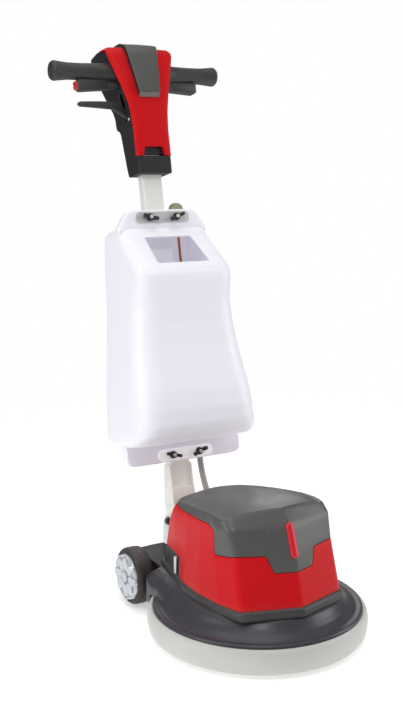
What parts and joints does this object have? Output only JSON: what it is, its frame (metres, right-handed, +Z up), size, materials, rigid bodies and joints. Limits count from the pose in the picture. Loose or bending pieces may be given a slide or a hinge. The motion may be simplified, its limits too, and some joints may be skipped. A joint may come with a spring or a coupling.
{
  "type": "rotary floor machine",
  "caption": "Walk-behind rotary floor machine: round deck with bumper ring, two-tone motor hood, transport wheels, and a tilting pole with a wedge-shaped solution tank and twin-grip head.",
  "frame": {"origin": "on the floor, on the axis of the floor pad, at the middle of the pad's working face", "axes": "+Z up, +Y towards the operator (the pole, wheels and tank are on the +Y side), +X to the right seen from the front"},
  "size_m": [0.46, 0.8666, 1.2381],
  "materials": {
    "deck_paint": "semi-gloss dark blue-grey paint on cast aluminium",
    "ring_rubber": "satin light grey moulded rubber",
    "zinc_steel": "zinc-plated steel",
    "hood_red": "satin-gloss red moulded plastic",
    "hood_grey": "satin dark grey moulded plastic",
    "black_plastic": "fine-grained black moulded plastic",
    "button_red": "glossy red plastic",
    "grip_plastic": "satin dark grey soft plastic",
    "pole_paint": "satin light grey powder coat",
    "tank_white": "translucent white rotomoulded polyethylene",
    "cast_aluminium": "as cast",
    "machine_steel": "ground steel",
    "bearing_steel": "polished",
    "seal_rubber": "matte black",
    "lamination": "varnished laminations",
    "copper": "varnished copper wire",
    "can_metal": "drawn can",
    "fan_plastic": "moulded",
    "driver_plastic": "moulded",
    "pad_fibre": "open non-woven fibre",
    "tyre_rubber": "satin dark brown-black",
    "hub_silver": "silver-grey moulded plastic",
    "brass_rod": "drawn",
    "knob_tan": "moulded tan-grey",
    "hose_grey": "satin grey flexible hose",
    "cable_black": "matte black sheath"
  },
  "bodies": {
    "base": {"deck": "deck_paint", "bumper_ring": "ring_rubber", "handle_bracket": "zinc_steel", "bracket_bolts": "zinc_steel", "pivot_bolt": "zinc_steel", "axle": "zinc_steel", "hood_lower": "hood_red", "hood_top": "hood_grey", "hood_insert": "hood_red", "hood_skirt": "black_plastic", "hood_clips": "zinc_steel", "gearbox_housing": "cast_aluminium", "gearbox_bolts": "zinc_steel", "ring_gear": "machine_steel", "output_bearing": "bearing_steel", "shaft_seal": "seal_rubber", "motor_flange": "cast_aluminium", "motor_housing": "cast_aluminium", "motor_end_bell": "cast_aluminium", "motor_bearings": "bearing_steel", "stator_core": "lamination", "stator_windings": "copper", "capacitors": "can_metal"},
    "rotor": {"rotor_core": "lamination", "motor_shaft": "machine_steel", "cooling_fan": "fan_plastic"},
    "carrier": {"planet_carrier": "machine_steel", "planet_pins": "bearing_steel", "drive_flange": "cast_aluminium", "pad_driver": "driver_plastic", "floor_pad": "pad_fibre"},
    "planet_1": {"planet_gear_1": "machine_steel"},
    "planet_2": {"planet_gear_2": "machine_steel"},
    "planet_3": {"planet_gear_3": "machine_steel"},
    "wheel_left": {"tyre_left": "tyre_rubber", "wheel_hub_left": "hub_silver"},
    "wheel_right": {"tyre_right": "tyre_rubber", "wheel_hub_right": "hub_silver"},
    "handle": {"pole": "pole_paint", "pole_yoke": "pole_paint", "head_housing": "black_plastic", "head_cover": "hood_red", "head_visor": "hood_grey", "handlebar_tube": "zinc_steel", "grips": "grip_plastic", "switch_box": "black_plastic", "tank": "tank_white", "tank_clamps": "zinc_steel", "tank_u_bolts": "zinc_steel", "wing_nuts": "black_plastic", "valve_body": "black_plastic", "solution_hose": "hose_grey", "power_cable": "cable_black", "lever_pin": "zinc_steel"},
    "trigger": {"trigger_bar": "grip_plastic"},
    "button": {"safety_button": "button_red"},
    "lever": {"tilt_lever": "grip_plastic"},
    "lock": {"lock_rod": "zinc_steel"},
    "valve": {"valve_rod": "brass_rod", "valve_knob": "knob_tan"}
  },
  "joints": [
    {"name": "handle_tilt", "type": "hinge", "parent": "base", "child": "handle", "pos_m": [0, 0.311, 0.095], "axis": [-1, 0, 0], "range_deg": [-10, 50], "deforming": ["solution_hose", "power_cable"]},
    {"name": "wheel_left_spin", "type": "hinge", "parent": "base", "child": "wheel_left", "pos_m": [-0.155, 0.252, 0.068], "axis": [1, 0, 0], "continuous": true},
    {"name": "wheel_right_spin", "type": "hinge", "parent": "base", "child": "wheel_right", "pos_m": [0.155, 0.252, 0.068], "axis": [1, 0, 0], "continuous": true},
    {"name": "pad_spin", "type": "hinge", "parent": "base", "child": "carrier", "pos_m": [0, 0, 0.07], "axis": [0, 0, 1], "continuous": true},
    {"name": "rotor_spin", "type": "hinge", "parent": "base", "child": "rotor", "pos_m": [0, 0, 0.17], "axis": [0, 0, 1], "continuous": true},
    {"name": "planet_1_spin", "type": "hinge", "parent": "carrier", "child": "planet_1", "pos_m": [0.036, 0, 0.095], "axis": [0, 0, 1], "continuous": true},
    {"name": "planet_2_spin", "type": "hinge", "parent": "carrier", "child": "planet_2", "pos_m": [-0.018, 0.03118, 0.095], "axis": [0, 0, 1], "continuous": true},
    {"name": "planet_3_spin", "type": "hinge", "parent": "carrier", "child": "planet_3", "pos_m": [-0.018, -0.03118, 0.095], "axis": [0, 0, 1], "continuous": true},
    {"name": "trigger_pull", "type": "hinge", "parent": "handle", "child": "trigger", "pos_m": [0, 0.51988, 1.14034], "axis": [1, 0, 0], "range_deg": [0, 8]},
    {"name": "safety_push", "type": "slide", "parent": "trigger", "child": "button", "axis": [1, 0, 0], "range_m": [0, 0.004]},
    {"name": "tilt_release", "type": "hinge", "parent": "handle", "child": "lever", "pos_m": [-0.036, 0.51048, 1.06777], "axis": [0, 0.9806, -0.1959], "range_deg": [0, 12]},
    {"name": "lock_lift", "type": "slide", "parent": "handle", "child": "lock", "axis": [0, 0.1959, 0.9806], "range_m": [0, 0.006]},
    {"name": "valve_pull", "type": "slide", "parent": "handle", "child": "valve", "axis": [0, 0.1959, 0.9806], "range_m": [0, 0.012]}
  ],
  "couplings": [
    {"joint": "rotor_spin", "follows": "pad_spin", "ratio": 8},
    {"joint": "planet_1_spin", "follows": "pad_spin", "ratio": -2.3333},
    {"joint": "planet_2_spin", "follows": "pad_spin", "ratio": -2.3333},
    {"joint": "planet_3_spin", "follows": "pad_spin", "ratio": -2.3333},
    {"joint": "lock_lift", "follows": "tilt_release", "m_per_rad": 0.028619}
  ]
}
